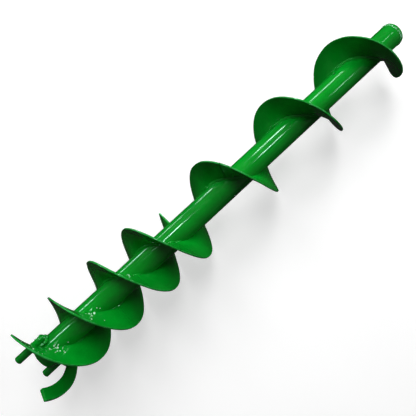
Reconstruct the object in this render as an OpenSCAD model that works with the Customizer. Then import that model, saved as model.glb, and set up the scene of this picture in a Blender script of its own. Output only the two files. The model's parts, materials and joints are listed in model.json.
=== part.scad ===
// Welded screw-conveyor rotor: a plain steel core tube with right-hand sheet flighting, a second
// start of flighting at the drive end, two drive pegs, a sweep finger and a bushed hub in each end.
// The axis runs along +X from the drive end of the tube (X = 0) to the tail end. Clock angles turn
// about +X by the right-hand rule from the top (+Z), and a helix moves along +X as its angle grows.

/* [Core tube] */
// Outside diameter of the core tube
tube_od = 76.2; // [70:0.1:80]
// Wall thickness of the core tube
tube_wall = 4; // [3:0.5:6]
// Length of the core tube with the tail hub's head on its end
tube_len = 1440; // [1426:1:1496]

/* [Flighting] */
// Outside diameter of the flighting
flight_od = 229; // [215:1:250]
// Axial advance of the flighting in one turn
flight_lead = 280; // [270:1:290]
// Axial advance in one turn of the main flight's start, before it first crosses the top
drive_lead = 270; // [260:1:285]
// Axial advance in one turn at the main flight's tail tip, reached evenly over its last section
tail_lead = 223; // [210:1:280]
// Thickness of the flight sheet
flight_t = 4.8; // [3:0.1:6]
// Axial place where the main flight crosses the top of the tube
main_x_top = 177; // [174:1:186]
// Clock angle where the main flight starts
main_start = -227; // [-229:1:-225]
// Total angle that the main flight turns through
main_sweep = 1785; // [1765:1:1787]
// Angle covered by one full section of the main flight
main_section = 307; // [300:1:330]
// Axial place where the second flight crosses the top of the tube
second_x_top = 44; // [42:1:52]
// Clock angle where the second flight starts
second_start = -57; // [-58:1:-54]
// Angle covered by one section of the second flight
second_section = 326; // [310:1:330]
// Radius of the corner cut on the tail tip of the main flight
tip_corner = 26; // [10:1:40]

/* [Drive pegs] */
// Diameter of a drive peg where it lies along the tube
peg_d = 22.2; // [18:0.1:24]
// Diameter of a peg's nose, cleaned up where it stands out past the tube
peg_nose_d = 22; // [17:0.1:24]
// Length that a peg stands out past the tube end
peg_reach = 43; // [34:1:49]
// Length of a peg that lies along the tube
peg_seat = 48; // [42:1:66]
// Clock angle of the first peg, with the other one opposite
peg_angle = -45; // [-47:1:-43]

/* [Sweep finger] */
// Width of the finger's flat bar
finger_w = 38; // [30:1:42]
// Thickness of the finger's flat bar
finger_t = 8; // [6:0.5:9]
// Angle that the finger laps the main flight
finger_lap = 24; // [16:1:27]
// Angle that the finger reaches past the end of the main flight
finger_free = 77; // [56:1:85]
// Axial advance of the free part of the finger in one turn
finger_lead = 247; // [230:1:279]

/* [Hubs and bushes] */
// Length of an end hub
hub_len = 42; // [35:1:60]
// Thickness of the tail hub's head, which caps the tube
head_t = 12; // [8:1:16]
// Radius of the rounded edge of the head
head_round = 6; // [3:0.5:7]
// Outside diameter of a bush, which is the bore of its hub
bush_od = 46; // [44:0.5:50]
// Bore of a bush, which runs on a stub shaft
bush_id = 38.2; // [38.1:0.1:40]
// Thickness of a bush's flange
bush_flange_t = 3; // [2:0.5:5]
// Diameter of a bush's flange
bush_flange_d = 57; // [52:0.5:60]

/* [Welds] */
// Leg of the fillet weld between a flight and the tube
weld_leg = 5; // [3:0.5:7]
// Angle covered by one tack weld
tack_angle = 18; // [12:1:30]
// Angle of the gap between two sections, which a butt weld fills
seam_angle = 1.6; // [1:0.1:2.5]
// Height that a butt weld stands above the sheet
seam_crown = 0.8; // [0.4:0.1:1.5]

/* [Hidden] */
$fn = 96;

paint = [0.02, 0.45, 0.13];
bronze = [0.72, 0.52, 0.25];

// Largest angle between two stations of a faceted helix
station_step = 6;
tube_r = tube_od / 2;
tube_ir = tube_r - tube_wall;
flight_r = flight_od / 2;
// The chords of the sheet's inner edge stay just outside the round tube
flight_ir = tube_r / cos(station_step / 2) + 0.02;
toe_r = flight_ir + weld_leg;
main_sections = ceil(main_sweep / main_section);
main_end = main_start + main_sweep;
tail_from = main_start + (main_sections - 1) * main_section;
second_sections = 2;
peg_r = peg_d / 2;
// Small gap that the side welds bridge
peg_gap = 0.1;
peg_axis_r = tube_r + peg_r + peg_gap;
// The sheet is cut away round a peg, out to this radius and over this angle each side
notch_r = peg_axis_r + peg_r + 1.6;
notch_half = 19;
finger_ir = flight_r - finger_w;
finger_gap = 0.4;
hub_weld_r = 2;

// ---- Helix functions ----

// A point on the helix frame: axial place x, radius r, clock angle c
function polar(x, r, c) = [x, -r * sin(c), r * cos(c)];

// Axial half thickness, at radius r, of a sheet with constant true thickness t
function axial_half(r, t) = t / 2 * sqrt(1 + pow(flight_lead / (2 * PI * r), 2));

function helix_x(x_top, c) = x_top + flight_lead * c / 360;

// Axial place of the main flight, whose two ends have a shorter lead than the rest
function main_x(c) =
    let (past = max(0, c - tail_from))
    helix_x(main_x_top, c) + min(0, c) * (drive_lead - flight_lead) / 360
        + past * past / (main_end - tail_from) / 2 * (tail_lead - flight_lead) / 360;
function second_x(c) = helix_x(second_x_top, c);
function flight_x(second, c) = second ? second_x(c) : main_x(c);

// Signed angle from c to the nearest peg, between -90 and 90
function off_peg(c) = let (d = (c - peg_angle) / 180) 180 * (d - round(d));

// Inner radius of a flight, which is larger beside a peg near the drive end
function inner_r(second, c) =
    flight_x(second, c) < peg_seat && abs(off_peg(c)) < notch_half ? notch_r : flight_ir;

// Outer radius of a flight: only the main flight's tail tip has a rounded corner
function outer_r(second, c) =
    let (d = tip_corner - flight_r * (main_end - c) * PI / 180)
    second || d <= 0 ? flight_r : flight_r - tip_corner + sqrt(max(0, tip_corner * tip_corner - d * d));

// Radii of the points along a sheet's width from its inner to its outer edge
function sheet_rows(ri, ro) = [ri, ri + weld_leg, ri + 0.35 * (ro - ri), ri + 0.65 * (ro - ri), ro];

// Evenly spaced angles from a to b
function stations(a, b) = let (n = ceil((b - a) / station_step)) [for (i = [0 : n]) a + (b - a) * i / n];

// One ring of sheet: outwards on the drive side, then inwards on the tail side
function sheet_ring(rows, t, x, c) = concat(
    [for (r = rows) polar(x - axial_half(r, t), r, c)],
    [for (i = [len(rows) - 1 : -1 : 0]) polar(x + axial_half(rows[i], t), rows[i], c)]);

// Closed skin over rings of points, with a flat cap at each end
module skin(rings, flip = false) {
    m = len(rings[0]);
    n = len(rings);
    sides = [for (j = [0 : n - 2], i = [0 : m - 1])
        let (k = (i + 1) % m, a = j * m + i, b = j * m + k, c = b + m, d = a + m)
        each [[a, b, c], [a, c, d]]];
    caps = [[for (i = [m - 1 : -1 : 0]) i], [for (i = [0 : m - 1]) (n - 1) * m + i]];
    faces = concat(sides, caps);
    turned = [for (f = faces) [for (i = [len(f) - 1 : -1 : 0]) f[i]]];
    polyhedron(points = [for (ring = rings) each ring], faces = flip ? turned : faces, convexity = 10);
}

// ---- Flight sections ----

function main_from(k) = main_start + (k - 1) * main_section + (k > 1 ? seam_angle / 2 : 0);
function main_to(k) = k < main_sections ? main_start + k * main_section - seam_angle / 2 : main_end;
function main_stations(k) = stations(main_from(k), main_to(k));

function second_from(k) = second_start + (k - 1) * second_section + (k > 1 ? seam_angle / 2 : 0);
function second_to(k) = second_start + k * second_section - (k < second_sections ? seam_angle / 2 : 0);
function second_stations(k) = stations(second_from(k), second_to(k));

module flight_sheet(second, angles) {
    skin([for (c = angles)
        sheet_ring(sheet_rows(inner_r(second, c), outer_r(second, c)), flight_t, flight_x(second, c), c)]);
}

module main_flight(k) { color(paint) flight_sheet(false, main_stations(k)); }
module second_flight(k) { color(paint) flight_sheet(true, second_stations(k)); }

// ---- Welds along the flights ----

// Fillet bead between a flight and the tube; side is -1 on the drive side and 1 on the tail side
function bead_ring(side, x, c) =
    let (foot = axial_half(flight_ir, flight_t), toe = axial_half(toe_r, flight_t),
         leg = weld_leg * sqrt(1 + pow(flight_lead / (2 * PI * tube_r), 2)),
         at_foot = polar(x + side * foot, flight_ir, c),
         at_toe = polar(x + side * toe, toe_r, c),
         crown = polar(x + side * (foot + 0.52 * leg), flight_ir + 0.52 * weld_leg, c),
         far = polar(x + side * (foot + leg), flight_ir, c))
    side < 0 ? [at_foot, at_toe, crown, far] : [at_toe, at_foot, far, crown];

module bead(second, angles, side) {
    skin([for (c = angles) bead_ring(side, flight_x(second, c), c)], flip = true);
}

// The bead starts past the notch that a peg leaves in the sheet
function clear_of_peg(second, angles) = [for (c = angles) if (inner_r(second, c) == flight_ir) c];

module main_flight_weld() {
    angles = [for (k = [1 : main_sections]) each main_stations(k)];
    color(paint) bead(false, clear_of_peg(false, angles), -1);
}

module second_flight_weld() {
    angles = [for (k = [1 : second_sections]) each second_stations(k)];
    color(paint) bead(true, clear_of_peg(true, angles), -1);
}

// Four tack welds on the tail side of a section, evenly spaced from its first station to its last
module tacks(second, section) {
    angles = clear_of_peg(second, section);
    n = floor(tack_angle / station_step);
    last = len(angles) - 1;
    for (first = [0, floor((last - n) / 3), floor(2 * (last - n) / 3), last - n])
        bead(second, [for (i = [first : first + n]) angles[i]], 1);
}

module flight_tack_welds() {
    color(paint) {
        for (k = [1 : main_sections]) tacks(false, main_stations(k));
        for (k = [1 : second_sections]) tacks(true, second_stations(k));
    }
}

// Butt weld that fills the gap between two sections and stands proud of both faces
module seam(second, c) {
    rows = sheet_rows(toe_r + 1, flight_r - 1);
    t = flight_t + 2 * seam_crown;
    skin([for (a = [c - seam_angle / 2, c + seam_angle / 2]) sheet_ring(rows, t, flight_x(second, a), a)]);
}

module flight_seam_welds() {
    color(paint) {
        for (k = [1 : main_sections - 1]) seam(false, main_start + k * main_section);
        seam(true, second_start + second_section);
    }
}

// ---- Core tube, hubs and bushes ----

// Turns a shape drawn along +Z so that it lies along +X, with drawn X to Y and drawn Y to Z
module along_x() {
    rotate([90, 0, 90]) children();
}

module core_tube() {
    length = tube_len - head_t;
    color(paint) along_x() difference() {
        cylinder(h = length, r = tube_r);
        translate([0, 0, -1]) cylinder(h = length + 2, r = tube_ir);
    }
}

// Hub with its outer face at the origin and its body along +X
module hub() {
    difference() {
        union() {
            cylinder(h = hub_len, r = tube_ir);
            children();
        }
        translate([0, 0, -1]) cylinder(h = hub_len + 2, d = bush_od);
    }
}

// Head with a rounded outer edge, as wide as the tube whose end it caps
module hub_head() {
    rotate_extrude() {
        square([tube_r - head_round, head_t]);
        translate([0, head_round]) square([tube_r, head_t - head_round]);
        translate([tube_r - head_round, head_round]) circle(r = head_round, $fn = 64);
    }
}

// Flanged bush whose flange lies on the hub's outer face
module bush() {
    along_x() difference() {
        union() {
            cylinder(h = hub_len, d = bush_od);
            translate([0, 0, -bush_flange_t]) cylinder(h = bush_flange_t, d = bush_flange_d);
        }
        translate([0, 0, -bush_flange_t - 1]) cylinder(h = hub_len + bush_flange_t + 2, d = bush_id);
    }
}

// Half-round bead over the joint between the tube's drive end and its flush hub
module drive_hub_weld() {
    color(paint) along_x() rotate_extrude() difference() {
        translate([tube_ir, 0]) circle(r = hub_weld_r, $fn = 48);
        translate([tube_ir - 2 * hub_weld_r, 0]) square([4 * hub_weld_r, 2 * hub_weld_r]);
    }
}

// Low bead round the outside, over the joint between the tube and the head of the tail hub
module tail_hub_weld() {
    bead_r = 5.5;
    crown = 1.2;
    color(paint) translate([tube_len - head_t, 0, 0]) along_x() rotate_extrude() difference() {
        translate([tube_r + crown - bead_r, 0]) circle(r = bead_r, $fn = 64);
        translate([tube_r - 3 * bead_r, -2 * bead_r]) square([3 * bead_r, 4 * bead_r]);
    }
}

// Places a shape that is drawn for the drive end at the tail end
module at_tail() {
    translate([tube_len, 0, 0]) rotate([0, 0, 180]) children();
}

module drive_end_hub() { color(paint) along_x() hub(); }
module drive_end_bush() { color(bronze) bush(); }
module tail_end_hub() { color(paint) at_tail() along_x() hub() hub_head(); }
module tail_end_bush() { color(bronze) at_tail() bush(); }

// ---- Drive pegs ----

module drive_peg(c) {
    chamfer = 1.5;
    nose_r = peg_nose_d / 2;
    length = peg_reach + peg_seat;
    color(paint) rotate([c, 0, 0]) translate([-peg_reach, 0, peg_axis_r]) along_x()
        rotate_extrude() polygon([[0, 0], [nose_r - chamfer, 0], [nose_r, chamfer], [nose_r, peg_reach],
            [peg_r, peg_reach], [peg_r, length - chamfer], [peg_r - chamfer, length], [0, length]]);
}

// Fillets in the two grooves between a peg and the tube
module peg_side_welds() {
    groove_w = 14;
    from = 3;
    to = peg_seat - 9;
    color(paint) for (c = [peg_angle, peg_angle + 180], side = [0, 1])
        rotate([c, 0, 0]) translate([from, 0, 0]) mirror([0, side, 0]) along_x()
            linear_extrude(height = to - from) difference() {
                polygon([[2, tube_r - 1], [groove_w, tube_r - 4], [peg_r + 0.5, peg_axis_r - 2],
                    [peg_r - 2, peg_axis_r], [2, peg_axis_r]]);
                circle(r = tube_r);
                translate([0, peg_axis_r]) circle(r = peg_r);
            }
}

// Rounded lump of weld over the inner end of each peg
module peg_end_welds() {
    lump_r = 15;
    lump_from = peg_seat - 8;
    color(paint) for (c = [peg_angle, peg_angle + 180])
        rotate([c, 0, 0]) difference() {
            translate([lump_from, 0, peg_axis_r - 4]) sphere(r = lump_r);
            translate([lump_from - 2 * lump_r, -2 * lump_r, tube_r - 5])
                cube([2 * lump_r, 4 * lump_r, 4 * lump_r]);
            along_x() cylinder(h = 2 * peg_seat, r = tube_r);
            translate([0, 0, peg_axis_r]) along_x() cylinder(h = peg_seat, r = peg_r);
        }
}

// ---- Sweep finger ----

// Axial place of the finger's middle: it follows the flight over the lap, then its own lead
function finger_x(c) =
    let (offset = axial_half(finger_ir, flight_t) + axial_half(finger_ir, finger_t) + finger_gap,
         past = min(0, c - main_start))
    main_x(c) + offset + past * (finger_lead - drive_lead) / 360;

finger_rows = [for (i = [0 : 3]) finger_ir + finger_w * i / 3];

module sweep_finger() {
    angles = stations(main_start - finger_free, main_start + finger_lap);
    color(paint) skin([for (c = angles) sheet_ring(finger_rows, finger_t, finger_x(c), c)]);
}

// Ring of a wedge weld against one face of the finger's bar; height is axial, side points away from it
function wedge_ring(c, near, height, side) =
    let (low = finger_ir + 1, high = flight_r - 1,
         a = polar(near, low, c), b = polar(near, high, c),
         d = polar(near + side * height, high, c), e = polar(near + side * height, low, c))
    side < 0 ? [a, b, d, e] : [a, e, d, b];

// Wedges in the corners where the flight's end meets the bar and where the bar's end meets the flight
module finger_welds() {
    wedge_angle = 3.5;
    thin = 0.8;
    gap = 0.1;
    end = main_start;
    lap = main_start + finger_lap;
    face = axial_half(finger_ir, flight_t);
    bar_face = axial_half(finger_ir, finger_t) + gap;
    color(paint) {
        skin([wedge_ring(end - wedge_angle, finger_x(end - wedge_angle) - bar_face, thin, -1),
              wedge_ring(end - gap, finger_x(end - gap) - bar_face, flight_t, -1)], flip = true);
        skin([wedge_ring(lap + gap, main_x(lap + gap) + face + gap, finger_t, 1),
              wedge_ring(lap + wedge_angle, main_x(lap + wedge_angle) + face + gap, thin, 1)],
             flip = true);
    }
}

core_tube();
main_flight(1);  // main_flight_1
main_flight(2);  // main_flight_2
main_flight(3);  // main_flight_3
main_flight(4);  // main_flight_4
main_flight(5);  // main_flight_5
main_flight(6);  // main_flight_6
second_flight(1);  // second_flight_1
second_flight(2);  // second_flight_2
sweep_finger();
drive_peg(peg_angle);  // drive_peg_1
drive_peg(peg_angle + 180);  // drive_peg_2
drive_end_hub();
drive_end_bush();
tail_end_hub();
tail_end_bush();
main_flight_weld();
second_flight_weld();
flight_tack_welds();
flight_seam_welds();
peg_side_welds();
peg_end_welds();
finger_welds();
drive_hub_weld();
tail_hub_weld();
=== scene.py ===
import json
import math

import bmesh
import bpy
import numpy as np
from mathutils import Matrix, Vector


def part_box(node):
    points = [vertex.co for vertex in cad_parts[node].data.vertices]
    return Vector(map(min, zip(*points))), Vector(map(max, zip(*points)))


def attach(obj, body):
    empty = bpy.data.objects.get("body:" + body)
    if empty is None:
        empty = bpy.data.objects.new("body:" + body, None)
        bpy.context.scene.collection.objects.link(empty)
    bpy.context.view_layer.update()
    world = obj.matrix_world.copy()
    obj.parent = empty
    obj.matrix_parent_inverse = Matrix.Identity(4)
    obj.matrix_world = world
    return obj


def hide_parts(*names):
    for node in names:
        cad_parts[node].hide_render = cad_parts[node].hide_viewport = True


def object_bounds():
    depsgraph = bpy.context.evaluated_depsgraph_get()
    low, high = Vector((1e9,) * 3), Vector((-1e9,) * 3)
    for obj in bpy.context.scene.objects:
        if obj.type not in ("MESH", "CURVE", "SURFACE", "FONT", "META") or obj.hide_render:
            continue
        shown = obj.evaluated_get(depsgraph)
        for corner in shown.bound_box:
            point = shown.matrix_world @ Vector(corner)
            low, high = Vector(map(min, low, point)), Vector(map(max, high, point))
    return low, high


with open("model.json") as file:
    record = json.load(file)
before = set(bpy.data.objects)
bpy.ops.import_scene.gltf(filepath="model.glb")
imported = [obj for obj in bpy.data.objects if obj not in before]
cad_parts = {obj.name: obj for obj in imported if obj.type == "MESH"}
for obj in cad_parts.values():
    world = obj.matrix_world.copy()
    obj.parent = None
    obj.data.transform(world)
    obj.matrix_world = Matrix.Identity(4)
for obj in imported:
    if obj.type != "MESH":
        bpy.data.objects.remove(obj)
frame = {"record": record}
cad_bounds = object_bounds()

# The auger's axis runs along +X from its drive end to its tail end, and +Z is up. Shapes are
# worked out in millimetres and degrees. A clock angle turns about +X by the right-hand rule from
# the top (+Z).
MM = 0.001


def span(node):
    """The lowest and highest corners of a CAD node, in millimetres."""
    low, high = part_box(node)
    return np.array(low) / MM, np.array(high) / MM


# ---- Sizes, all of them the CAD model's own ----

TUBE_LOW, TUBE_HIGH = span("core_tube")
TUBE_R = round((TUBE_HIGH[2] - TUBE_LOW[2]) / 2, 1)
TUBE_WALL = 4.0
TUBE_IR = TUBE_R - TUBE_WALL
TUBE_END = TUBE_HIGH[0]
TAIL_END = span("tail_end_hub")[1][0]
HUB_LEN = span("drive_end_hub")[1][0]
FLANGE_T = -span("drive_end_bush")[0][0]
FLANGE_R = span("drive_end_bush")[1][2]
BUSH_R = 23.0
BORE_R = frame["record"]["mounts"][0]["dims"]["r_mm"]
# The least gap between a piece and the one that it is fitted into
FIT_GAP = 0.05

# Each flight's lead is how far along it one turn takes it, its X_TOP is where it first crosses the
# top, and its start, its end and the length of its sheet sections are clock angles
FLIGHT_R = 114.5
FLIGHT_T = 4.8
FLIGHT_LEAD = 280.0
DRIVE_LEAD = 270.0
TAIL_LEAD = 223.0
MAIN_X_TOP = 177.0
MAIN_START = -227.0
MAIN_SECTION = 307.0
MAIN_SECTIONS = 6
MAIN_SPAN = 1785.0
MAIN_END = MAIN_START + MAIN_SPAN
TAIL_FROM = MAIN_START + (MAIN_SECTIONS - 1) * MAIN_SECTION
SECOND_X_TOP = 44.0
SECOND_START = -57.0
SECOND_SECTION = 326.0
SECOND_SECTIONS = 2
SECOND_END = SECOND_START + SECOND_SECTIONS * SECOND_SECTION
SEAM_GAP = 1.6
TIP_CORNER = 26.0

PEG_R = 11.1
PEG_NOSE_R = 11.0
PEG_REACH = -span("drive_peg_1")[0][0]
PEG_SEAT = span("drive_peg_1")[1][0]
PEG_ANGLE = -45.0
PEG_STANDOFF = 0.1
PEG_AXIS_R = TUBE_R + PEG_R + PEG_STANDOFF
# The flights are notched round the pegs, with this much room over them and this far to each side
NOTCH_ROOM = 1.6
NOTCH_R = PEG_AXIS_R + PEG_R + NOTCH_ROOM
NOTCH_HALF = 19.0

FINGER_W = 38.0
FINGER_T = 8.0
FINGER_LAP = 24.0
FINGER_FREE = 77.0
FINGER_LEAD = 247.0
FINGER_IR = FLIGHT_R - FINGER_W
LAP_GAP = 0.4
WELD_LEG = 5.0


# ---- Helix functions, which take arrays ----

def polar(x, r, c):
    """Points at axial place x, radius r and clock angle c."""
    angle = np.radians(c)
    x, r, angle = np.broadcast_arrays(x, r, angle)
    return np.stack([x, -r * np.sin(angle), r * np.cos(angle)], axis=-1)


def axial(r, t):
    """The axial length at radius r of a distance t across the sheet."""
    return t * np.sqrt(1 + (FLIGHT_LEAD / (2 * math.pi * r)) ** 2)


def main_x(c):
    """The main flight's middle at clock angle c. Its lead is shorter before the first crossing of
    the top, and closes over the last section."""
    opening = np.minimum(0, c) * (DRIVE_LEAD - FLIGHT_LEAD) / 360
    past = np.maximum(0, c - TAIL_FROM)
    closing = past * past / (MAIN_END - TAIL_FROM) / 2 * (TAIL_LEAD - FLIGHT_LEAD) / 360
    return MAIN_X_TOP + FLIGHT_LEAD * c / 360 + opening + closing


def second_x(c):
    """The second flight's middle at clock angle c."""
    return SECOND_X_TOP + FLIGHT_LEAD * c / 360


def finger_x(c):
    """The finger's middle: it follows the main flight over the lap, and then its own lead."""
    beside = axial(FINGER_IR, FLIGHT_T / 2) + axial(FINGER_IR, FINGER_T / 2) + LAP_GAP
    past = np.minimum(0, c - MAIN_START)
    return main_x(c) + beside + past * (FINGER_LEAD - DRIVE_LEAD) / 360


def waves(seed, low, high, terms=5):
    """A smooth wandering function of an angle or a length, mostly between -1 and 1."""
    rng = np.random.default_rng(seed)
    rates = rng.uniform(low, high, terms)
    phases = rng.uniform(0, 2 * math.pi, terms)

    def wander(v):
        return sum(np.sin(np.radians(v * a) + b) for a, b in zip(rates, phases)) / math.sqrt(terms)
    return wander


# ---- Mesh building ----

def skin_faces(n, m, around):
    """Faces over n rings of m points: joined round if around is true, and capped if it is not."""
    i = np.arange(n if around else n - 1)[:, None]
    j = np.arange(m)[None, :]
    after, beside = (i + 1) % n, (j + 1) % m
    quads = [i * m + j, i * m + beside, after * m + beside, after * m + j]
    faces = np.stack(np.broadcast_arrays(*quads), axis=-1).reshape(-1, 4).tolist()
    if not around:
        faces.append(list(range(m - 1, -1, -1)))
        faces.append(list(range((n - 1) * m, n * m)))
    return faces


def new_object(name, mesh):
    made = bpy.data.objects.new(name, mesh)
    bpy.context.scene.collection.objects.link(made)
    return made


def finish_piece(piece, slot, replaced, sharp, material=None):
    """Turns the piece's faces outwards, shades it smooth up to an angle of sharp degrees and ties
    it to the frame. Its material is the slot's own unless another is named."""
    mesh = piece.data
    if "edge" not in mesh.attributes:
        mesh.attributes.new("edge", "FLOAT", "POINT")
    work = bmesh.new()
    work.from_mesh(mesh)
    bmesh.ops.recalc_face_normals(work, faces=work.faces)
    work.to_mesh(mesh)
    work.free()
    mesh.shade_smooth()
    mesh.set_sharp_from_angle(angle=math.radians(sharp))
    mesh.materials.clear()
    mesh.materials.append(MATERIALS[material or slot])
    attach(piece, "root")
    if replaced:
        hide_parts(*replaced)


def build(name, shells, slot, replaced, sharp=38, material=None):
    """One piece from shells (rings, around, edge), where edge marks the points on a bare edge."""
    points, faces, marks = [], [], []
    offset = 0
    for rings, around, edge in shells:
        n, m = rings.shape[:2]
        points.append(rings.reshape(-1, 3))
        marks.append(np.broadcast_to(edge, (n, m)).reshape(-1))
        faces += [[v + offset for v in face] for face in skin_faces(n, m, around)]
        offset += n * m
    mesh = bpy.data.meshes.new(name)
    mesh.from_pydata((np.concatenate(points) * MM).tolist(), [], faces)
    edge_mark = mesh.attributes.new("edge", "FLOAT", "POINT")
    edge_mark.data.foreach_set("value", np.concatenate(marks).astype(np.float32))
    finish_piece(new_object(name, mesh), slot, replaced, sharp, material)


# ---- Materials ----

def feed(tree, node, inputs):
    """Gives a node's inputs their values, or links them from other nodes' sockets."""
    for key, value in inputs.items():
        if isinstance(value, bpy.types.NodeSocket):
            tree.links.new(value, node.inputs[key])
        else:
            node.inputs[key].default_value = value


def add_node(tree, kind, inputs, **settings):
    made = tree.nodes.new(kind)
    for key, value in settings.items():
        setattr(made, key, value)
    feed(tree, made, inputs)
    return made


def place_of(tree, kind="Object"):
    """The shaded point's coordinates."""
    return add_node(tree, "ShaderNodeTexCoord", {}).outputs[kind]


def noise(tree, scale, detail, roughness=0.55):
    """Cloudy values from 0 to 1, mostly near 0.5."""
    inputs = {"Vector": place_of(tree), "Scale": scale, "Detail": detail, "Roughness": roughness}
    return add_node(tree, "ShaderNodeTexNoise", inputs).outputs["Fac"]


def remap(tree, value, low, high, to_low, to_high):
    """Value's range from low to high stretched to another, and clamped to it."""
    inputs = {"Value": value, "From Min": low, "From Max": high,
              "To Min": to_low, "To Max": to_high}
    return add_node(tree, "ShaderNodeMapRange", inputs).outputs["Result"]


def mix_colour(tree, factor, a, b):
    """Colour a where factor is 0 and b where it is 1, by the mix node's colour sockets."""
    return add_node(tree, "ShaderNodeMix", {0: factor, 6: a, 7: b}, data_type="RGBA").outputs[2]


def times(tree, a, b):
    return add_node(tree, "ShaderNodeMath", {0: a, 1: b}, operation="MULTIPLY").outputs[0]


def bump(tree, height, distance, strength, under=None):
    """The normal for a height in metres, on top of the normal under it."""
    inputs = {"Height": height, "Distance": distance, "Strength": strength}
    if under is not None:
        inputs["Normal"] = under
    return add_node(tree, "ShaderNodeBump", inputs).outputs["Normal"]


def new_material(name):
    material = bpy.data.materials.new(name)
    material.use_nodes = True
    return material, material.node_tree, material.node_tree.nodes["Principled BSDF"]


def shade(colour, share):
    """An opaque colour whose red, green and blue are that share of another's."""
    return tuple(share * v for v in colour[:3]) + (1,)


GREEN = (0.0005, 0.300, 0.017, 1)
# Thinner paint on bare edges, lightened further to act as a painted highlight along the rims
THIN_PAINT_AND_SHEEN_GREEN = (0.035, 0.41, 0.085, 1)
BARE_STEEL = (0.19, 0.20, 0.19, 1)


def paint(name, colour, sagging, peel, rough, chips, gloss_coat=0.3):
    """Gloss enamel: cloudy colour, sags, orange peel, and chips on bare edges, where the paint is
    thinner and lightened as a painted highlight.
    """
    material, tree, shader = new_material(name)
    cloud = remap(tree, noise(tree, 11, 4), 0.35, 0.65, 0, 1)
    coat = mix_colour(tree, cloud, shade(colour, 0.80), shade(colour, 1.12))
    fine = remap(tree, noise(tree, 190, 2), 0.40, 0.60, 0, 0.35)
    coat = mix_colour(tree, fine, coat, shade(colour, 0.86))
    edge = add_node(tree, "ShaderNodeAttribute", {}, attribute_name="edge").outputs["Fac"]
    thin_and_sheen = remap(tree, noise(tree, 75, 4), 0.42, 0.62, 0.1, 0.75)
    # Bare edges get thinner, lighter paint, which also works as a painted highlight along the rims
    coat = mix_colour(tree, times(tree, edge, thin_and_sheen), coat, THIN_PAINT_AND_SHEEN_GREEN)
    chip = remap(tree, noise(tree, 230, 5, 0.7), 0.66 - chips, 0.70 - chips, 0, 1)
    coat = mix_colour(tree, times(tree, edge, chip), coat, BARE_STEEL)
    sag = bump(tree, noise(tree, 34, 2), 0.0002, sagging)
    feed(tree, shader, {
        "Base Color": coat,
        "Roughness": remap(tree, noise(tree, 60, 5), 0.3, 0.7, rough - 0.03, rough + 0.05),
        "Normal": bump(tree, noise(tree, 420, 2), 0.00004, peel, sag),
        "IOR": 1.45,
        "Coat Weight": gloss_coat,
        "Coat Roughness": 0.04,
    })
    return material


def glint_patch_paint(name, covered, top, scale, low, high):
    """Weld metal in its covered colour with a paler one in patches, a painted highlight that stands
    for glints.
    """
    material, tree, shader = new_material(name)
    patch = remap(tree, noise(tree, scale, 3), low, high, 0, 1)
    feed(tree, shader, {
        "Base Color": mix_colour(tree, patch, covered, top),
        "Roughness": remap(tree, patch, 0, 1, 0.16, 0.30),
        "Normal": bump(tree, noise(tree, 700, 2), 0.00005, 0.3),
        "Coat Weight": 0.5,
        "Coat Roughness": 0.06,
    })
    return material


def bronze(name):
    """Turned bearing bronze: fine tool marks round the axis, brown tarnish in patches."""
    material, tree, shader = new_material(name)
    tarnish = remap(tree, noise(tree, 70, 5), 0.38, 0.66, 0, 1)
    turning = {"Vector": place_of(tree), "Scale": 900.0, "Distortion": 0.6}
    marks = add_node(tree, "ShaderNodeTexWave", turning, wave_type="BANDS", bands_direction="X")
    feed(tree, shader, {
        "Base Color": mix_colour(tree, tarnish, (0.66, 0.43, 0.20, 1), (0.34, 0.20, 0.09, 1)),
        "Metallic": 1.0,
        "Roughness": remap(tree, tarnish, 0, 1, 0.26, 0.5),
        "Normal": bump(tree, marks.outputs["Fac"], 0.00003, 0.5),
    })
    return material


MATERIALS = {
    "painted_tube": paint("painted_tube", GREEN, 0.10, 0.12, 0.12, 0.0, gloss_coat=0.5),
    "painted_sheet": paint("painted_sheet", GREEN, 0.25, 0.25, 0.17, 0.02),
    "painted_bar": paint("painted_bar", shade(GREEN, 0.9), 0.25, 0.3, 0.18, 0.03),
    "painted_weld": paint("painted_weld", shade(GREEN, 0.96), 0.3, 0.3, 0.14, 0.0),
    # Spatter is pale green all over and near white in patches: painted highlights standing for
    # glints
    "spatter_painted_glints": glint_patch_paint("spatter_painted_glints", (0.12, 0.55, 0.22, 1), (0.68, 0.95, 0.78, 1),
                                 160, 0.26, 0.46),
    # The tail weld's pale patches are painted highlights standing for glints on its ripples
    "weld_painted_glints": glint_patch_paint("weld_painted_glints", GREEN, (0.46, 0.90, 0.64, 1), 260, 0.47, 0.63),
    # The peg welds' pale patches are painted highlights standing for glints on the lumps
    "weld_painted_highlights": glint_patch_paint("weld_painted_highlights", GREEN, (0.25, 0.70, 0.42, 1), 230, 0.51, 0.69),
    "bush_bronze": bronze("bush_bronze"),
}


# ---- Flight sheets ----

# Where a sheet's rows of points lie across its width, closer together near its rim
WIDTH_ROWS = np.array([0.05, 0.13, 0.22, 0.32, 0.43, 0.54, 0.65, 0.75, 0.84, 0.91, 0.96, 0.985])
# Angles of the points round each of its rolled edges
CORNER = np.radians([0, 30, 60, 90])


def sheet_section(rows):
    """A sheet's outline: each point's share of the width, how far out and sideways of its edge's
    centre it lies in edge radii, and its face (-1 for the drive side, 1 for the tail side)."""
    inner_drive = [(0, -math.cos(a), -math.sin(a), -1) for a in CORNER]
    drive_face = [(s, 0, -1, -1) for s in rows]
    outer_drive = [(1, math.sin(a), -math.cos(a), -1) for a in CORNER]
    outer_tail = [(1, math.cos(a), math.sin(a), 1) for a in CORNER]
    tail_face = [(s, 0, 1, 1) for s in rows[::-1]]
    inner_tail = [(0, -math.sin(a), math.cos(a), 1) for a in CORNER]
    return np.array(inner_drive + drive_face + outer_drive + outer_tail + tail_face + inner_tail).T


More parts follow.
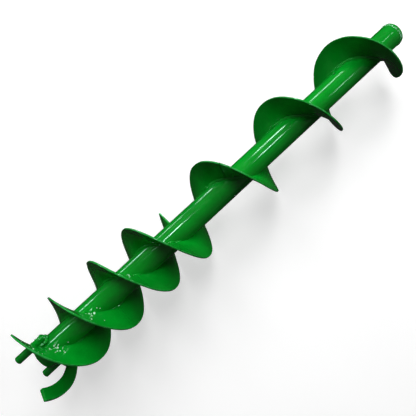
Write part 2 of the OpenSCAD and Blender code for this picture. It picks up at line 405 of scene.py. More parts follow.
def sheet_rings(x_of, angles, inner, outer, t, edge_r, shape, rows, free):
    """Rings along a sheet of thickness t with bevelled ends, and a mark from 0 to 1 on its rim and
    its free ends, where the paint is thinner and lightened as a painted highlight."""
    share, outward, sideways, face = sheet_section(rows)
    bevel, mark_width = 0.7, 1.6
    per_degree = np.radians(1) * (inner.mean() + outer.mean()) / 2
    # Each end's ring comes twice: small at the very end, and full size where its bevel ends
    order = np.concatenate([[0], np.arange(len(angles)), [-1]])
    angles, inner, outer = angles[order], inner[order][:, None], outer[order][:, None]
    angles[1] += bevel / per_degree
    angles[-2] -= bevel / per_degree
    trim = np.zeros((len(angles), 1))
    trim[[0, -1]] = bevel
    c = angles[:, None]
    r = inner + trim + edge_r + share * (outer - inner - 2 * edge_r - 2 * trim) + edge_r * outward
    s = (face * (t / 2 - edge_r) + edge_r * sideways) * (1 - 2 * trim / t)
    x = x_of(c) + axial(r, s) + shape(c, r)
    edge = np.exp(-(outer - r) / mark_width)
    for end, is_free in zip((0, -1), free):
        if is_free:
            edge[end] = 1
    return polar(x, r, c), edge


def formed(seed):
    """The waviness that forming leaves in a flight: none at the tube, most at the rim."""
    slow, quick = waves(seed, 2, 5), waves(seed + 1, 9, 16)
    deep, shallow = 0.55, 0.10

    def shape(c, r):
        reach = np.clip((r - TUBE_R) / (FLIGHT_R - TUBE_R), 0, 1)
        return reach * reach * (deep * slow(c) + shallow * quick(c))
    return shape


def off_peg(c):
    """How many degrees clock angle c is from the nearer peg."""
    turn = (c - PEG_ANGLE) / 180
    return np.abs(180 * (turn - np.round(turn)))


def inner_radius(x_of, c):
    """The sheet's inner edge: just inside the tube's face, but notched with sloping sides beside a
    peg's seat."""
    slope, sunk = 5, 0.2
    away = np.clip((NOTCH_HALF + slope / 2 - off_peg(c)) / slope, 0, 1)
    cut = away * away * (3 - 2 * away)
    return np.where(x_of(c) < PEG_SEAT, TUBE_R + (NOTCH_R - TUBE_R) * cut, TUBE_R) - sunk


def outer_radius(c, seed, tip):
    """The rim, a little inside its nominal radius and wandering, with a round corner before tip."""
    inside, wander, least = 0.35, 0.3, 0.05
    rim = FLIGHT_R - inside - wander * waves(seed, 3, 11)(c)
    rim = np.minimum(rim, FLIGHT_R - least)
    short = np.clip(TIP_CORNER - FLIGHT_R * np.radians(tip - c), 0, TIP_CORNER)
    return rim - TIP_CORNER + np.sqrt(np.maximum(0, TIP_CORNER ** 2 - short ** 2))


def stations(start, end, tip):
    """Clock angles along a flight, closer together round the corner of a rounded tip."""
    step, corner_steps = 1.5, 22
    angles = np.linspace(start, end, round((end - start) / step) + 1)
    if tip is None:
        return angles
    turn = np.degrees(TIP_CORNER / FLIGHT_R)
    swing = np.sin(np.linspace(0, math.pi / 2, corner_steps))
    return np.concatenate([angles[angles < tip - turn - step / 3], tip - turn * (1 - swing)])


def add_flight(node, x_of, start, end, seed, free, tip=None):
    """One section; free tells which of its ends have no other section welded to them."""
    edge_r = 0.9
    c = stations(start, end, tip)
    rim = outer_radius(c, seed, math.inf if tip is None else tip)
    inner = inner_radius(x_of, c)
    shape = formed(seed)
    rings, edge = sheet_rings(x_of, c, inner, rim, FLIGHT_T, edge_r, shape, WIDTH_ROWS, free)
    build(node + "_formed", [(rings, False, edge)], "painted_sheet", [node], sharp=50)


def section_ends(first, length, count, end):
    """Where each section of a flight starts and ends, with the gaps that the butt welds fill."""
    half = SEAM_GAP / 2
    starts = [first + k * length + (half if k else 0) for k in range(count)]
    ends = [first + (k + 1) * length - half for k in range(count - 1)] + [end]
    return list(zip(starts, ends))


MAIN_ENDS = section_ends(MAIN_START, MAIN_SECTION, MAIN_SECTIONS, MAIN_END)
SECOND_ENDS = section_ends(SECOND_START, SECOND_SECTION, SECOND_SECTIONS, SECOND_END)


def add_flights():
    for k, (start, end) in enumerate(MAIN_ENDS):
        node, seed, last = "main_flight_%d" % (k + 1), 20 + 3 * k, k == MAIN_SECTIONS - 1
        add_flight(node, main_x, start, end, seed, (k == 0, last), end if last else None)
    for k, (start, end) in enumerate(SECOND_ENDS):
        node, seed, last = "second_flight_%d" % (k + 1), 50 + 3 * k, k == SECOND_SECTIONS - 1
        add_flight(node, second_x, start, end, seed, (k == 0, last))


# ---- Welds along the flights ----

# Height of the weld metal over one ripple, as shares of the ripple's height
RIPPLE = np.array([0.0, 0.55, 0.9, 1.0, 0.6])
# Degrees along a flight that one ripple takes
RIPPLE_PITCH = 3.9
# Places across a bead, from its toe on the sheet to its toe on the tube
BEAD_ROWS = np.linspace(0, 1, 8)
# How far a bead's foot goes into the sheet and the tube
SUNK = 0.9
# How much longer a bead's leg on the tube is than its leg on the sheet
TUBE_LEG = 1.25
# Clock angle at which the welder stops on every turn, to begin a new run of the bead
STOP_CLOCK = -102.0
# Degrees that a run goes back over the one before it and on past the next stop
RUN_BACK, RUN_ON = 3, 1


def ripple_heights(count, seed):
    """The ripples' height at each of count places, each ripple a little higher or lower than the
    next."""
    rng = np.random.default_rng(seed)
    each = rng.uniform(0.6, 1.3, count // len(RIPPLE) + 1)
    return (each[:, None] * RIPPLE).reshape(-1)[:count]


def fillet_rings(x_of, start, end, side, leg, seed, taper):
    """A rippled fillet bead between a flight and the tube, on the sheet's drive side (side -1) or
    its tail side (side 1). It tapers over that many degrees at each end."""
    least, wander, ripple_swell, ripple_lift = 0.25, 0.08, 0.05, 0.35
    swell, bulge_out, bulge_along, ripple_lag = 0.55 * leg / WELD_LEG, 0.75, 0.66, 1.7
    count = max(8, round((end - start) * len(RIPPLE) / RIPPLE_PITCH))
    c0 = np.linspace(start, end, count)
    ripple = ripple_heights(count, seed)
    u = (c0 - start) / (end - start)
    full = np.clip(np.minimum(u, 1 - u) * (end - start) / taper, 0, 1)
    size = least + (1 - least) * np.sqrt(1 - (1 - full) ** 2)
    size = size * (1 + wander * waves(seed, 6, 24)(c0)) * (1 + ripple_swell * ripple)
    on_sheet = leg * size
    lift = (ripple_lift * ripple * full)[:, None]
    w = BEAD_ROWS
    dome = 4 * w * (1 - w)
    bulge = swell * dome * size[:, None] + lift * np.sqrt(dome)
    up = on_sheet[:, None] * (1 - w) + bulge * bulge_out
    along = TUBE_LEG * on_sheet[:, None] * w + bulge * bulge_along
    c = c0[:, None] + ripple_lag * dome
    r = TUBE_R + up
    rings = [polar(x_of(c) + side * (axial(r, FLIGHT_T / 2) + along), r, c)]
    for radius, past in ((TUBE_R - SUNK, TUBE_LEG * on_sheet), (TUBE_R - SUNK, -SUNK),
                         (TUBE_R + on_sheet, -SUNK)):
        place = x_of(c0) + side * (axial(radius, FLIGHT_T / 2) + past)
        rings.append(polar(place, radius, c0)[:, None, :])
    return np.concatenate(rings, axis=1)


def clear_start(x_of, start):
    """Where the sheet's inner edge comes back down to the tube after a peg's notch."""
    quarter, step, room = 90, 0.5, 1
    c = np.arange(start, start + quarter, step)
    cut = (off_peg(c) < NOTCH_HALF + room) & (x_of(c) < PEG_SEAT)
    return c[cut].max() if cut.any() else start


def restarts(start, end):
    """Where the welder stops and starts again, once a turn but not close to either end."""
    close = 60
    return [c for c in np.arange(STOP_CLOCK, end - close, 360) if c > start + close]


def run_rings(x_of, runs, seed):
    """One bead on the drive side for each pair of neighbouring stops."""
    taper = 7
    for k, (a, b) in enumerate(zip(runs[:-1], runs[1:])):
        yield fillet_rings(x_of, a - RUN_BACK, b + RUN_ON, -1, WELD_LEG, seed + k, taper)


def add_flight_welds():
    for node, x_of, first, end, seed in (
            ("main_flight_weld", main_x, MAIN_START, MAIN_END, 80),
            ("second_flight_weld", second_x, SECOND_START, SECOND_END, 90)):
        start = clear_start(x_of, first)
        runs = [start] + restarts(start, end) + [end]
        shells = [(rings, False, 0) for rings in run_rings(x_of, runs, seed)]
        build(node + "_rippled", shells, "painted_weld", [node], sharp=60)


def add_tacks():
    """Four short beads on the tail side of each section, from one of its ends to the other."""
    length, leg, taper = 18.0, 4.2, 8
    shells = []
    for x_of, ends in ((main_x, MAIN_ENDS), (second_x, SECOND_ENDS)):
        for start, end in ends:
            first = clear_start(x_of, start)
            for share in (0, 1 / 3, 2 / 3, 1):
                a = first + share * (end - length - first)
                rings = fillet_rings(x_of, a, a + length, 1, leg, 100 + len(shells), taper)
                shells.append((rings, False, 0))
    build("flight_tack_welds_rippled", shells, "painted_weld", ["flight_tack_welds"], sharp=60)


def seam_rings(x_of, c_seam, seed, is_open):
    """A butt weld along a radius, with a rippled crown on the tail face. On the drive face it is
    almost flush, or a groove that the metal never filled if the seam is open."""
    count, rim_gap, toe, groove, bow = 90, 1.2, 0.25, 3.0, 1.1
    r0 = np.linspace(TUBE_R + WELD_LEG, FLIGHT_R - rim_gap, count)
    ripple = ripple_heights(count, seed)[:, None]
    w = np.linspace(-1, 1, 9)
    dome = 1 - w * w
    half = 2.4 + 0.25 * waves(seed, 20, 60)(r0)[:, None]
    crown = (0.85 + 0.28 * ripple) * dome - toe
    back = (-1, half / 2, np.full_like(crown, -groove)) if is_open else (-1, half, 0.4 * dome - toe)
    faces = []
    for side, reach, height in (back, (1, half, crown)):
        r = r0[:, None] + bow * dome * side
        c = c_seam + np.degrees(reach * w / r)
        x = x_of(c) + side * axial(r, FLIGHT_T / 2 + height)
        faces.append(polar(x, r, c)[:, ::side, :])
    return np.concatenate(faces, axis=1)


def add_seams():
    seams = [(main_x, MAIN_START + k * MAIN_SECTION) for k in range(1, MAIN_SECTIONS)]
    seams += [(second_x, SECOND_START + SECOND_SECTION)]
    # The third one shows as a dark line in the photo
    open_seam = 2
    shells = [(seam_rings(x_of, c, 160 + k, k == open_seam), False, 0)
              for k, (x_of, c) in enumerate(seams)]
    build("flight_seam_welds_rippled", shells, "painted_weld", ["flight_seam_welds"], sharp=60)


# ---- Turned pieces ----

def corner(x, r, radius, start, steps=5):
    """A quarter-round corner of a lathe outline about (x, r), from an angle start onwards."""
    angles = np.radians(start + np.linspace(0, 90, steps))
    return [(x + radius * math.cos(a), r + radius * math.sin(a)) for a in angles]


def lathe_rings(outline, segments, centre=(0, 0), wander=None):
    """Rings of points for an outline of (x, r) turned about a line along X through (y, z)."""
    outline = np.array(outline)
    c = np.linspace(0, 360, segments, endpoint=False)
    x, r = outline[:, :1], outline[:, 1:]
    if wander is not None:
        r = r + wander(x, c)
    return polar(x, r, c) + np.array([0, centre[0], centre[1]])


def tube_wander(x, c):
    """The tube is very slightly out of round, and its radius wanders along it."""
    return 0.05 * np.sin(np.radians(2 * c + 0.11 * x)) + 0.04 * waves(7, 0.3, 1.4)(x)


def add_tube():
    """A tube with its outer edges eased by e; the rows keep its wander smooth."""
    e, rows = 0.8, 90
    outline = [(0.0, TUBE_R - e), (0.25 * e, TUBE_R - 0.3 * e)]
    outline += [(x, TUBE_R) for x in np.linspace(e, TUBE_END - e, rows)]
    outline += [(TUBE_END - 0.25 * e, TUBE_R - 0.3 * e), (TUBE_END, TUBE_R - e)]
    outline += [(TUBE_END, TUBE_IR), (TUBE_END / 2, TUBE_IR), (0.0, TUBE_IR)]
    rings = lathe_rings(outline, 160, wander=tube_wander)
    build("core_tube_drawn", [(rings, True, 0)], "painted_tube", ["core_tube"], sharp=40)


def add_drive_hub():
    """A ring with rounded outer edges and chamfered inner ones."""
    e, bevel = 1.0, 0.6
    inner, outer = BUSH_R + FIT_GAP, TUBE_IR - FIT_GAP
    outline = corner(FIT_GAP + e, outer - e, e, 90)[::-1]
    outline += corner(HUB_LEN - e, outer - e, e, 0)[::-1]
    outline += [(HUB_LEN, inner + bevel), (HUB_LEN - bevel, inner)]
    outline += [(FIT_GAP + bevel, inner), (FIT_GAP, inner + bevel)]
    rings = lathe_rings(outline, 144)
    build("drive_end_hub_turned", [(rings, True, 0)], "painted_bar", ["drive_end_hub"])


def head_wander(x, c):
    """The tail hub's head is very slightly three-cornered beyond its weld."""
    return np.where(x > TUBE_END + 1, 0.06, 0) * np.sin(np.radians(3 * c))


def add_tail_hub():
    """A plug inside the tube and a head as wide as the tube, with a rounded outer edge."""
    bevel, head_round, bore_bevel = 1, 6.0, 0.7
    plug_end, plug_r, bore = TAIL_END - HUB_LEN, TUBE_IR - FIT_GAP, BUSH_R + FIT_GAP
    outline = [(plug_end, BUSH_R + bevel), (plug_end, TUBE_IR - bevel), (plug_end + bevel, plug_r)]
    outline += [(TUBE_END, plug_r), (TUBE_END, TUBE_R - 0.8), (TUBE_END + 0.8, TUBE_R)]
    outline += corner(TAIL_END - head_round, TUBE_R - head_round, head_round, 0, 12)[::-1]
    outline += [(TAIL_END, BUSH_R + bore_bevel), (TAIL_END - bore_bevel, bore)]
    outline += [(plug_end + bevel, bore)]
    rings = lathe_rings(outline, 160, wander=head_wander)
    build("tail_end_hub_turned", [(rings, True, 0)], "painted_tube", ["tail_end_hub"])


def bush_outline(face, way):
    """A flanged bush with a grease groove in its bore. Its flange lies on the hub's outer face at
    x = face, and way (1 or -1) is the direction along X from there into the hub."""
    groove_r = BORE_R + 1.1
    groove = [(18, BORE_R), (19, groove_r), (23, groove_r), (24, BORE_R)]
    outline = [(-FLANGE_T, BORE_R + 1.2), (-FLANGE_T, FLANGE_R - 0.8), (-FLANGE_T + 0.8, FLANGE_R)]
    outline += [(-0.4, FLANGE_R), (0, FLANGE_R - 0.4), (0, BUSH_R), (HUB_LEN - 1.5, BUSH_R)]
    outline += [(HUB_LEN, BUSH_R - 0.8), (HUB_LEN, BORE_R + 0.8), (HUB_LEN - 0.8, BORE_R)]
    outline += groove[::-1]
    outline += [(-FLANGE_T + 1.2, BORE_R)]
    return [(face + way * x, r) for x, r in outline]


def add_bushes():
    for node, face, way in (("drive_end_bush", 0.0, 1), ("tail_end_bush", TAIL_END, -1)):
        rings = lathe_rings(bush_outline(face, way), 128)
        build(node + "_turned", [(rings, True, 0)], "bush_bronze", [node], sharp=30)


def ring_bead(x_mid, r_mid, section, seed, ripples):
    """A rippled bead all the way round. Section gives its points as (along X, outwards, how far a
    ripple lifts it)."""
    swell, sway_by, ripple_lag = 0.06, 0.35, 3.2
    count = ripples * len(RIPPLE)
    ripple = ripple_heights(count, seed)[:, None]
    c0 = np.linspace(0, 360, count, endpoint=False)[:, None]
    along, out, lift = np.array(section).T
    # The sine brings the sway back to its first value at the end of the turn
    sway = waves(seed, 1, 7)(c0 * np.sin(np.radians(c0 / 2)))
    x = x_mid + along * (1 + swell * ripple) + sway_by * sway
    r = r_mid + out + lift * ripple
    return polar(x, r, c0 + ripple_lag * lift / max(lift.max(), 0.01))


def add_drive_hub_weld():
    """A bead in the joint of the tube and the drive hub, round on its outer side."""
    bulge, half, root, root_half = 2.025, 1.84, 1.08, 1.104
    section = [(-bulge * math.sin(a), -half * math.cos(a), 0.0) for a in np.linspace(0, math.pi, 9)]
    section += [(root, root_half, 0.0), (root, -root_half, 0.0)]
    rings = ring_bead(0.0, TUBE_IR, section, 210, 54)
    build("drive_hub_weld_rippled", [(rings, True, 0)], "painted_weld", ["drive_hub_weld"], 60)


def add_tail_hub_weld():
    """A low bead over the joint of the tube and the tail hub's head."""
    half, crown, ripple_lift, toe, root, root_half = 3.4, 1.1, 0.5, 0.12, 1.2, 2.6
    section = [(half * w, crown * (1 - w * w) - toe, ripple_lift * (1 - w * w))
               for w in np.linspace(-1, 1, 9)]
    section += [(root_half, -root, 0.0), (-root_half, -root, 0.0)]
    rings = ring_bead(TUBE_END, TUBE_R, section, 220, 60)
    # Its pale patches are a painted highlight standing for glints on the rippled bead
    build("tail_hub_weld_rippled", [(rings, True, 0)], "painted_weld", ["tail_hub_weld"], 60,
          "weld_painted_glints")


def peg_outline():
    """A peg's outline, from the middle of its nose to the middle of its seat."""
    bevel, nose = 1.4, -PEG_REACH
    outline = [(nose, 0.8), (nose, 3.5), (nose, PEG_NOSE_R - bevel - 0.5)]
    outline += [(nose + 0.15, PEG_NOSE_R - bevel - 0.1), (nose + bevel - 0.2, PEG_NOSE_R - 0.25)]
    outline += [(x, PEG_NOSE_R) for x in np.linspace(nose + bevel + 0.3, -0.6, 14)]
    outline += [(x, PEG_R) for x in np.linspace(0, PEG_SEAT - bevel, 12)]
    return outline + [(PEG_SEAT, PEG_R - bevel), (PEG_SEAT, 4.0), (PEG_SEAT, 0.8)]


def peg_wander(seed):
    """Cut bar is a little flat on two sides, more in some places than in others."""
    rough = waves(seed, 0.5, 2.5)

    def wander(x, c):
        return -0.06 * (1 + rough(x)) * (0.5 + 0.5 * np.cos(np.radians(2 * c)))
    return wander


def add_pegs():
    outline = peg_outline()
    # The paint is thinner on the bevel of the nose, and lightened there as a painted highlight
    from_nose = np.array(outline)[:, :1] + PEG_REACH
    marks = np.where((from_nose > 0.1) & (from_nose < 2.2), 1.0, 0.0)
    for k in (0, 1):
        clock = math.radians(PEG_ANGLE + 180 * k)
        centre = (-PEG_AXIS_R * math.sin(clock), PEG_AXIS_R * math.cos(clock))
        rings = lathe_rings(outline, 72, centre, peg_wander(230 + k))
        node = "drive_peg_%d" % (k + 1)
        build(node + "_cut", [(rings, False, marks)], "painted_bar", [node], sharp=40)


def add_finger():
    step, edge_r = 2.0, 1.1
    c = np.arange(MAIN_START - FINGER_FREE, MAIN_START + FINGER_LAP + step / 2, step)
    inner = FINGER_IR + 0.15 + 0.15 * waves(240, 6, 14)(c)
    outer = FLIGHT_R - 0.3 - 0.2 * waves(241, 5, 12)(c)
    rows = np.array([0.05, 0.2, 0.4, 0.6, 0.8, 0.95])
    bend = waves(242, 4, 9)

    def shape(c, r):
        return 0.2 * bend(c)
    ends = (False, False)
    rings, edge = sheet_rings(finger_x, c, inner, outer, FINGER_T, edge_r, shape, rows, ends)
    build("sweep_finger_bent", [(rings, False, edge)], "painted_bar", ["sweep_finger"], sharp=50)


# ---- Lumps of weld ----

def ball(steps):
    """Points and faces of a ball of radius 1."""
    work = bmesh.new()
    bmesh.ops.create_icosphere(work, subdivisions=steps, radius=1.0)
    points = np.array([v.co for v in work.verts])
    faces = [[v.index for v in f.verts] for f in work.faces]
    work.free()
    return points, faces


BALL = ball(2)


def turned(points, c):
    """Points drawn about the top as (along X, across, outwards), turned to clock angle c."""
    a = math.radians(c)
    x, across, out = points.T
    y = -across * math.cos(a) - out * math.sin(a)
    z = -across * math.sin(a) + out * math.cos(a)
    return np.stack([x, y, z], axis=-1)


def balls_object(name, balls):
    """An object of separate balls, each given by its points in millimetres."""
    base, base_faces = BALL
    faces = [[v + k * len(base) for v in f] for k in range(len(balls)) for f in base_faces]
    mesh = bpy.data.meshes.new(name)
    mesh.from_pydata((np.concatenate(balls) * MM).tolist(), [], faces)
    return new_object(name, mesh)


def add_lumps(name, lumps, replaced, voxel, material):
    """Molten metal: balls (centre, half sizes, clock angle) that a voxel remesh melts together."""
    piece = balls_object(name, [turned(BALL[0] * np.array(half) + np.array(centre), c)
                                for centre, half, c in lumps])
    melt = piece.modifiers.new("melt", "REMESH")
    melt.mode = "VOXEL"
    melt.voxel_size = voxel * MM
    relax = piece.modifiers.new("relax", "SMOOTH")
    relax.iterations = 3
    relax.factor = 0.5
    seen = bpy.context.evaluated_depsgraph_get()
    melted = bpy.data.meshes.new_from_object(piece.evaluated_get(seen))
    piece.modifiers.clear()
    piece.data = melted
    finish_piece(piece, "painted_weld", replaced, 180, material)


def peg_side_lumps():
    """Overlapping lumps in both grooves beside each peg, with drips that reach over its back."""
    rng = np.random.default_rng(300)
    in_groove, groove_step, drip_step, most_lean = 10.2, 4.4, 5.0, 55
    lumps = []
    for clock in (PEG_ANGLE, PEG_ANGLE + 180):
        for side in (-1, 1):
            for x in np.arange(5, PEG_SEAT - 8, groove_step):
                size = rng.uniform(0.85, 1.2)
                along = x + rng.uniform(-0.6, 0.6)
                across = side * (in_groove + rng.uniform(-0.4, 0.8))
                half = (3.9 * size, 5.6 * size, 6.6 * size)
                lumps.append(((along, across, TUBE_R + 4.0), half, clock))
        for x in np.arange(8, PEG_SEAT - 4, drip_step):
            lean = math.radians(rng.uniform(-most_lean, most_lean))
            out = PEG_AXIS_R + (PEG_R - 0.9) * math.cos(lean)
            half = (rng.uniform(2.2, 3.6), rng.uniform(2.4, 4.2), rng.uniform(1.7, 2.6))
            along = x + rng.uniform(-1, 1)
            lumps.append(((along, PEG_R * math.sin(lean), out), half, clock))
    return lumps


def peg_end_lumps():
    """The weld over each peg's inner end: a row of lumps round it, a heap in the middle, and three
    round lumps on top where the welder stopped."""
    rng = np.random.default_rng(310)
    round_end, half = 11, 5.4
    lumps = []
    for clock in (PEG_ANGLE, PEG_ANGLE + 180):
        for swing in math.pi * (np.linspace(0, 1, round_end) - 0.5):
            along = PEG_SEAT - 5 + 7 * math.cos(swing)
            out = TUBE_R + 3.5 + rng.uniform(-0.3, 0.6)
            halves = (half * rng.uniform(0.85, 1.15), half, half * rng.uniform(0.85, 1.15))
            lumps.append(((along, 11.5 * math.sin(swing), out), halves, clock))
        for along, across, out in ((-6.0, -5.5, 17.5), (0.5, 4.5, 15.5), (-9.5, 4.0, 19.0)):
            along += PEG_SEAT + rng.uniform(-0.5, 0.5)
            lumps.append(((along, across, TUBE_R + out), (5.4, 5.6, 5.0), clock))
        lumps.append(((PEG_SEAT - 1, 0, TUBE_R + 9), (6.5, 10.0, 9.0), clock))
    return lumps


def restart_lumps():
    """A swelling of a few lumps at each of the main flight's last stops, where a run ends on top of
    the next, and a drip beside the last one."""
    rng = np.random.default_rng(330)
    shown, before, after, step = 3, 15, 14, 5.5
    lumps = []
    stops = restarts(clear_start(main_x, MAIN_START), MAIN_END)[-shown:]
    for stop in stops:
        for c in stop + np.arange(-before, after, step):
            out = rng.uniform(2.4, 3.8)
            along = main_x(c) - axial(TUBE_R + out, FLIGHT_T / 2) - 4.2
            half = (rng.uniform(5.4, 7.6), rng.uniform(4.4, 6.0), rng.uniform(3.6, 5.2))
            lumps.append(((along, rng.uniform(-0.5, 0.5), TUBE_R + out), half, c))
    # The drip ran down onto the tube
    for k in (0, 1, 2):
        along = main_x(stops[-1]) - 22 - 4.5 * k - rng.uniform(0, 2)
        half = (7.0, 4.6, rng.uniform(4.2, 5.4))
        lumps.append(((along, 0, TUBE_R + 1.2), half, stops[-1] + 44 + 3 * k))
    return lumps


def finger_lumps():
    """Wedge welds across the bar: at the flight's own end, and at the bar's end on the flight."""
    rng = np.random.default_rng(320)
    step = 3.4
    lumps = []
    for clock, x_of, way, t in ((MAIN_START - 1.6, finger_x, -1, FINGER_T),
                                (MAIN_START + FINGER_LAP + 1.4, main_x, 1, FLIGHT_T)):
        for r in np.arange(FINGER_IR + 4, FLIGHT_R - 3, step):
            along = x_of(clock) + way * (axial(r, t / 2) + 0.8)
            half = (2.9 * rng.uniform(0.85, 1.15), 3.4 * rng.uniform(0.9, 1.1), 2.6)
            lumps.append(((along, rng.uniform(-0.4, 0.4), r), half, clock))
    return lumps


def add_lumpy_welds():
    coarse, fine = 0.9, 0.6
    # The peg welds' pale patches are painted highlights standing for glints on the lumps
    add_lumps("peg_side_welds_laid", peg_side_lumps(), ["peg_side_welds"], coarse, "weld_painted_highlights")
    add_lumps("peg_end_welds_laid", peg_end_lumps(), ["peg_end_welds"], coarse, "weld_painted_highlights")
    add_lumps("finger_welds_laid", finger_lumps(), ["finger_welds"], fine, "painted_weld")
    add_lumps("weld_restarts_laid", restart_lumps(), [], coarse, "painted_weld")


# Clusters of spatter, each of them a flight, a count, the share of beads that lie on the tube, the
# first and last clock angle, the inner and outer radius, and the beads' relative size
SPATTER = [
    (second_x, 18, 0.5, 0, 36, 44, 74, 1),
    (main_x, 10, 0.15, -6, 38, 45, 104, 1),
    (second_x, 8, 0, -34, 14, 104, 111, 0.65),
    (second_x, 3, 0, 350, 372, 44, 60, 0.4),
    (main_x, 2, 0, 350, 372, 44, 60, 0.4),
]


def add_spatter():
    """Beads of spatter on the flights' tail faces, and on the tube beside the drive end's welds."""
    rng = np.random.default_rng(400)
    biggest, sizes, beside = 3.6, (1.2, 2.3), (2, 18)
    beads = []
    for x_of, count, on_tube, first, last, inner, outer, relative in SPATTER:
        for k in range(count):
            # The first bead of a cluster is its biggest, and lies near its middle
            size = relative * (rng.uniform(*sizes) if k else biggest)
            c = first + (last - first) * (rng.uniform(0, 1) if k else 0.48)
            r = inner + (outer - inner) * (rng.uniform(0, 1) ** 1.2 if k else 0.06)
            if k and rng.uniform() < on_tube:
                x, r = x_of(c) + axial(TUBE_R, FLIGHT_T / 2) + rng.uniform(*beside), TUBE_R
            else:
                x = x_of(c) + axial(r, FLIGHT_T / 2)
            beads.append(BALL[0] * size * rng.uniform(0.75, 1.1, 3) + polar(x, r, c))
    piece = balls_object("weld_spatter", beads)
    # The beads' pale colour is a painted highlight standing for glints
    finish_piece(piece, "painted_weld", [], 180, "spatter_painted_glints")


# ---- Studio ----

CAMERA_PLACE = Vector((0.4988, -0.1374, 1.1083))
CAMERA_AIM = Vector((0.6210, -0.0072, 0.0))
CAMERA_LENS = 32.77
CAMERA_SENSOR = 36
MIDDLE = Vector((0.70, 0.0, 0.0))
# Soft boxes: bearing from +X and height above the floor in degrees, and watts
SOFT_BOXES = [(45, 35, 45), (90, 33, 45), (60, 66, 35), (330, 22, 22)]
SOFT_BOX_REACH, SOFT_BOX_SIZE = 3.2, (1.4, 1.4)
# Glint strips: start and end along X in metres, angle from the top toward +Y, and radiance
GLINT_STRIPS = [
    (-0.90, -0.64, 43, 62), (-0.55, -0.38, 74, 60), (-0.06, 0.21, 86, 60), (0.36, 0.66, 83, 38),
    (0.36, 0.61, 24, 130), (0.80, 1.01, 84, 55), (1.50, 1.90, 47, 120), (1.50, 1.78, -1, 80),
    (2.20, 2.65, 55, 60), (2.40, 2.67, -35, 28), (3.04, 3.24, 1, 20),
]
GLINT_REACH, GLINT_WIDTH = 2.2, 0.06
GLINT_COLOUR = (0.6, 1.0, 0.8)
PALE = (0.95, 0.95, 0.95, 1)
PALE_TOO = (0.92, 0.92, 0.92, 1)
GREY = (0.66, 0.66, 0.66, 1)
GREY_TOO = (0.62, 0.62, 0.62, 1)
FLOOR_HALF = 30
DOME_RADIUS = 28.0


def add_camera():
    """It stands over the auger as it lies on the floor and looks almost straight down."""
    data = bpy.data.cameras.new("camera")
    data.lens = CAMERA_LENS
    data.sensor_width = CAMERA_SENSOR
    camera = new_object("camera", data)
    camera.location = CAMERA_PLACE
    camera.rotation_euler = (CAMERA_AIM - CAMERA_PLACE).to_track_quat("-Z", "Y").to_euler()
    bpy.context.scene.camera = camera


def add_floor():
    """A pale floor that grows brighter far away, where it meets the backdrop."""
    low, half = cad_bounds[0][2], FLOOR_HALF
    mesh = bpy.data.meshes.new("floor")
    corners = [(-half, -half, low), (half, -half, low), (half, half, low), (-half, half, low)]
    mesh.from_pydata(corners, [], [(0, 1, 2, 3)])
    floor = new_object("floor", mesh)
    material, tree, shader = new_material("pale_floor")
    cloud = remap(tree, noise(tree, 3, 4), 0.3, 0.7, 0, 1)
    away = add_node(tree, "ShaderNodeVectorMath", {"Vector": place_of(tree)}, operation="LENGTH")
    feed(tree, shader, {
        "Base Color": mix_colour(tree, cloud, GREY, GREY_TOO),
        "Emission Color": PALE,
        "Emission Strength": remap(tree, away.outputs["Value"], 1.8, 6.0, 0.57, 0.95),
        "Roughness": 0.9,
        "Specular IOR Level": 0.1,
    })
    mesh.materials.append(material)
    floor.visible_glossy = False
    floor.visible_diffuse = False


def add_light(name, place, aim, size, watts, glossy=True, diffuse=True):
    """A rectangular lamp, which the gloss or the diffuse shading can be kept from seeing."""
    data = bpy.data.lights.new(name, "AREA")
    data.shape = "RECTANGLE"
    data.size, data.size_y = size
    data.energy = watts
    lamp = new_object(name, data)
    lamp.location = place
    toward = (Vector(aim) - Vector(place)).normalized()
    # The lamp's long side lies along X as far as its aim lets it
    side = (Vector((1, 0, 0)) - toward * toward.x).normalized()
    up = (-toward).cross(side)
    lamp.rotation_euler = Matrix((side, up, -toward)).transposed().to_euler()
    lamp.visible_glossy = glossy
    lamp.visible_diffuse = diffuse
    return lamp


def add_lamps():
    """Soft boxes round the auger, which its gloss doesn't show."""
    for k, (bearing, height, watts) in enumerate(SOFT_BOXES):
        b, h = math.radians(bearing), math.radians(height)
        way = Vector((math.cos(h) * math.cos(b), math.cos(h) * math.sin(b), math.sin(h)))
        place = MIDDLE + SOFT_BOX_REACH * way
        add_light("soft_box_%d" % (k + 1), place, MIDDLE, SOFT_BOX_SIZE, watts, glossy=False)


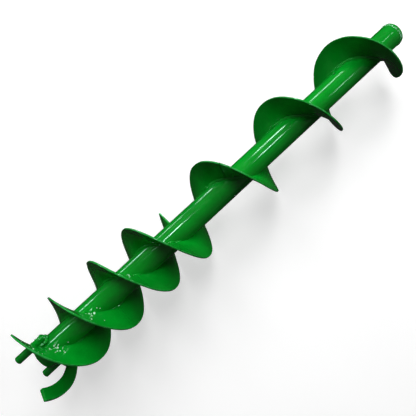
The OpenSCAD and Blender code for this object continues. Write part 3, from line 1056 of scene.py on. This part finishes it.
def add_glints():
    """Narrow lamps beside the axis, seen only in the gloss: each puts a short bright dash on it."""
    for k, (start, end, clock, radiance) in enumerate(GLINT_STRIPS):
        a, middle, length = math.radians(clock), (start + end) / 2, end - start
        place = (middle, GLINT_REACH * math.sin(a), GLINT_REACH * math.cos(a))
        watts = radiance * math.pi * length * GLINT_WIDTH
        strip = add_light("glint_strip_%d" % (k + 1), place, (middle, 0, 0),
                          (length, GLINT_WIDTH), watts, diffuse=False)
        strip.data.color = GLINT_COLOUR


def add_world():
    """A dim even studio above the floor and a darker one below it."""
    world = bpy.data.worlds.new("studio")
    bpy.context.scene.world = world
    world.use_nodes = True
    tree = world.node_tree
    height = add_node(tree, "ShaderNodeSeparateXYZ", {"Vector": place_of(tree, "Generated")})
    level = remap(tree, height.outputs["Z"], -1, 1, 0, 1)
    ramp = add_node(tree, "ShaderNodeValToRGB", {"Fac": level})
    below, above = ramp.color_ramp.elements
    below.position, below.color = 0.45, (0.02, 0.02, 0.02, 1)
    above.position, above.color = 0.55, (0.07, 0.07, 0.07, 1)
    feed(tree, tree.nodes["Background"], {"Color": ramp.outputs["Color"], "Strength": 1.0})


def add_backdrop():
    """A pale dome round the studio that only the camera sees."""
    points, faces = ball(4)
    mesh = bpy.data.meshes.new("backdrop")
    mesh.from_pydata((points * DOME_RADIUS).tolist(), [], faces)
    dome = new_object("backdrop", mesh)
    material, tree, shader = new_material("pale_backdrop")
    cloud = remap(tree, noise(tree, 0.1, 2), 0.3, 0.7, 0, 1)
    feed(tree, shader, {
        "Base Color": (0, 0, 0, 1),
        "Emission Color": mix_colour(tree, cloud, PALE, PALE_TOO),
        "Emission Strength": 1.08,
        "Specular IOR Level": 0.0,
    })
    mesh.materials.append(material)
    for hidden in ("visible_glossy", "visible_diffuse", "visible_transmission", "visible_shadow"):
        setattr(dome, hidden, False)


add_camera()
add_floor()
add_backdrop()
add_world()
add_lamps()
add_glints()
add_tube()
add_drive_hub()
add_tail_hub()
add_bushes()
add_drive_hub_weld()
add_tail_hub_weld()
add_flights()
add_flight_welds()
add_tacks()
add_seams()
add_pegs()
add_finger()
add_lumpy_welds()
add_spatter()
bpy.context.scene.view_settings.view_transform = "Standard"
